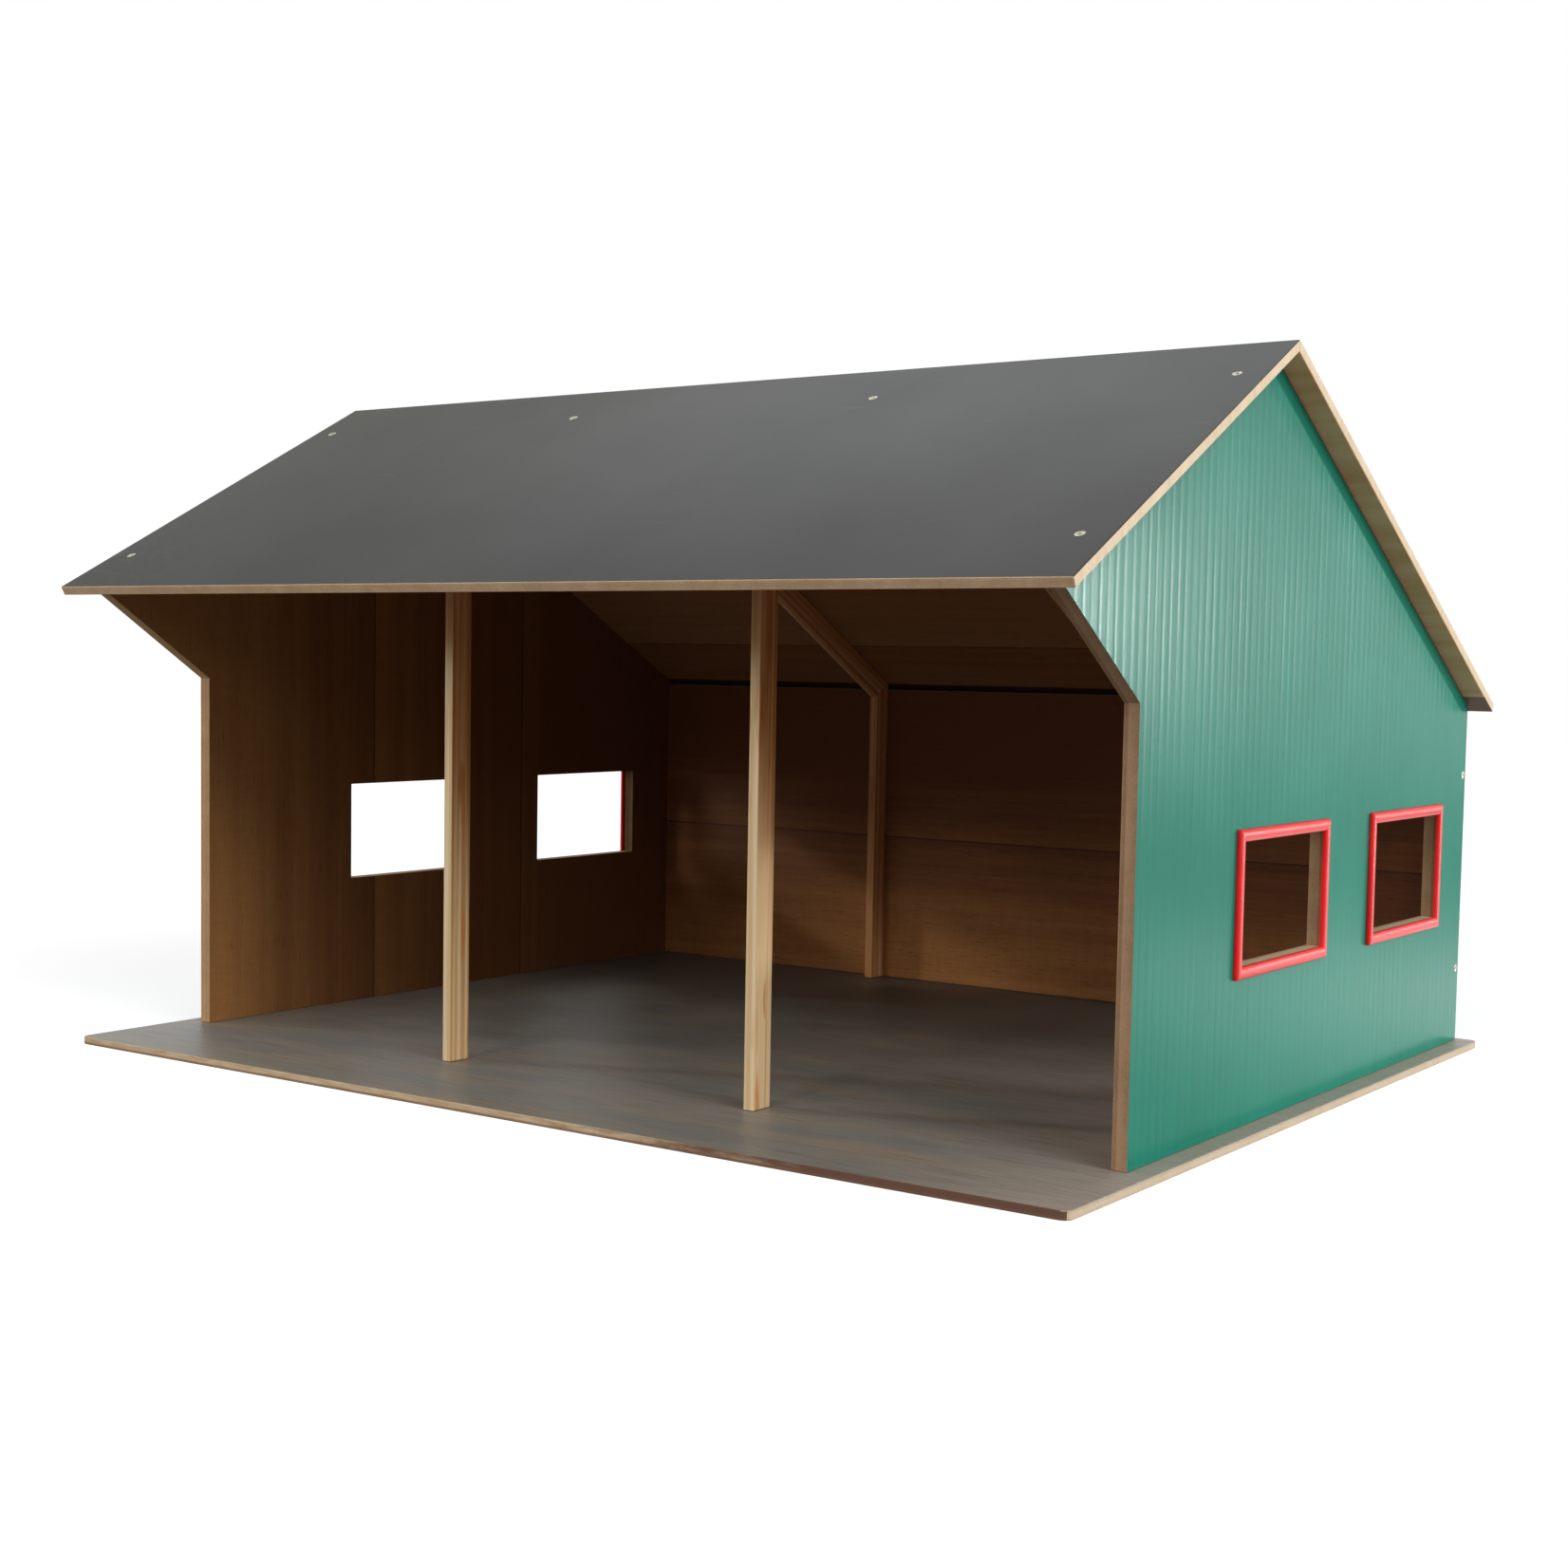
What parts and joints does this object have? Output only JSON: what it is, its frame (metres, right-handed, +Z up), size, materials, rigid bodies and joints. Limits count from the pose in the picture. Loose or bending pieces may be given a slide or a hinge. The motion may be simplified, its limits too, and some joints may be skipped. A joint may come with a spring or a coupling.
{
  "type": "toy farm shed",
  "caption": "Open-fronted toy farm shed: pitched roof with a deep front eave, two gables with framed windows, back wall, slim posts and rafters on a thin base board.",
  "frame": {"origin": "centre of the shed's outer box in X and Y, on the ground under the base board", "axes": "+Z up, -Y towards the open front, +X towards the right gable as seen from the front"},
  "size_m": [0.751, 0.6438, 0.4509],
  "materials": {
    "base_board": "grey stained board with raw edges",
    "gable_board": "green paint outside, brown veneer inside, raw edges",
    "back_board": "brown veneer inside, green paint outside",
    "roof_board": "satin grey paint on top, brown veneer below, raw edges",
    "raw_strip": "bare planed softwood",
    "window_frame": "red moulded plastic",
    "screw": "dull zinc plate"
  },
  "bodies": {
    "root": {"base_board": "base_board", "left_gable_wall": "gable_board", "right_gable_wall": "gable_board", "back_wall": "back_board", "front_roof_panel": "roof_board", "rear_roof_panel": "roof_board", "left_front_post": "raw_strip", "right_front_post": "raw_strip", "left_rear_post": "raw_strip", "right_rear_post": "raw_strip", "left_front_rafter": "raw_strip", "right_front_rafter": "raw_strip", "left_rear_rafter": "raw_strip", "right_rear_rafter": "raw_strip", "left_front_window_frame": "window_frame", "left_rear_window_frame": "window_frame", "right_front_window_frame": "window_frame", "right_rear_window_frame": "window_frame", "front_roof_screw_1": "screw", "front_roof_screw_2": "screw", "front_roof_screw_3": "screw", "front_roof_screw_4": "screw", "front_roof_screw_5": "screw", "front_roof_screw_6": "screw", "rear_roof_screw_1": "screw", "rear_roof_screw_2": "screw", "rear_roof_screw_3": "screw", "rear_roof_screw_4": "screw", "rear_roof_screw_5": "screw", "rear_roof_screw_6": "screw", "left_gable_screw_1": "screw", "left_gable_screw_2": "screw", "right_gable_screw_1": "screw", "right_gable_screw_2": "screw", "base_screw_1": "screw", "base_screw_2": "screw", "base_screw_3": "screw", "base_screw_4": "screw", "base_screw_5": "screw", "base_screw_6": "screw", "base_screw_7": "screw", "base_screw_8": "screw", "base_screw_9": "screw", "base_screw_10": "screw", "base_screw_11": "screw", "base_screw_12": "screw", "base_screw_13": "screw"}
  },
  "joints": []
}
